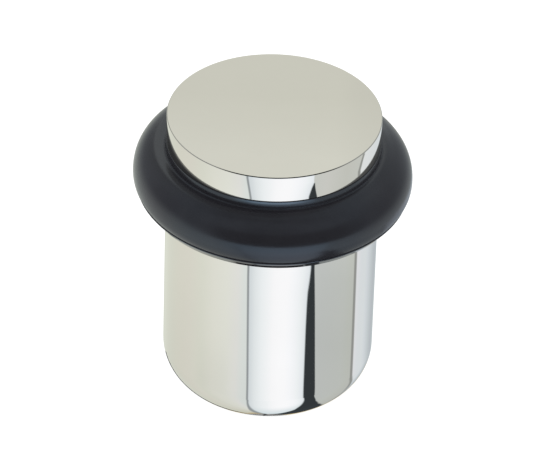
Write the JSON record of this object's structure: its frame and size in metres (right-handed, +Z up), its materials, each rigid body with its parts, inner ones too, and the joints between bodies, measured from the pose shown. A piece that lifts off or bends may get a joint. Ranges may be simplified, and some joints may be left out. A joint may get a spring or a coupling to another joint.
{
  "type": "door stop",
  "caption": "Floor-fixed cylinder door stop: polished metal post with a rounded base, screw-on cap and black rubber buffer ring.",
  "frame": {"origin": "centre of the base on the floor plane, on the post's axis; the post stands on z = 0 and the floor fixings hang below it", "axes": "+Z up along the post's axis; +X towards the anti-twist pin; +Y completes the right-handed frame"},
  "size_m": [0.0392, 0.0392, 0.0845],
  "materials": {
    "polished_nickel": "polished nickel plate",
    "black_rubber": "smooth moulded, satin",
    "natural_nylon": "natural nylon",
    "zinc_steel": "bright zinc plate",
    "grey_nylon": "moulded nylon",
    "bright_steel": "ground steel",
    "pad_rubber": "matt cut sheet"
  },
  "bodies": {
    "post": {"base_body": "polished_nickel", "fixing_screw": "zinc_steel", "screw_washer": "zinc_steel", "wall_plug": "grey_nylon", "anti_twist_pin": "bright_steel", "base_pad": "pad_rubber"},
    "cap_lift": {"cap_washer": "natural_nylon"},
    "cap": {"cap": "polished_nickel"},
    "ring": {"buffer_ring": "black_rubber"}
  },
  "joints": [
    {"name": "cap_rise", "type": "slide", "parent": "post", "child": "cap_lift", "axis": [0, 0, 1], "range_m": [0, 0.0075]},
    {"name": "cap_unscrew", "type": "hinge", "parent": "cap_lift", "child": "cap", "pos_m": [0, 0, 0.0405], "axis": [0, 0, 1], "range_deg": [0, 1815]},
    {"name": "ring_turn", "type": "hinge", "parent": "post", "child": "ring", "pos_m": [0, 0, 0.036], "axis": [0, 0, 1], "continuous": true}
  ],
  "couplings": [
    {"joint": "cap_unscrew", "follows": "cap_rise", "rad_per_m": 4188.8}
  ]
}
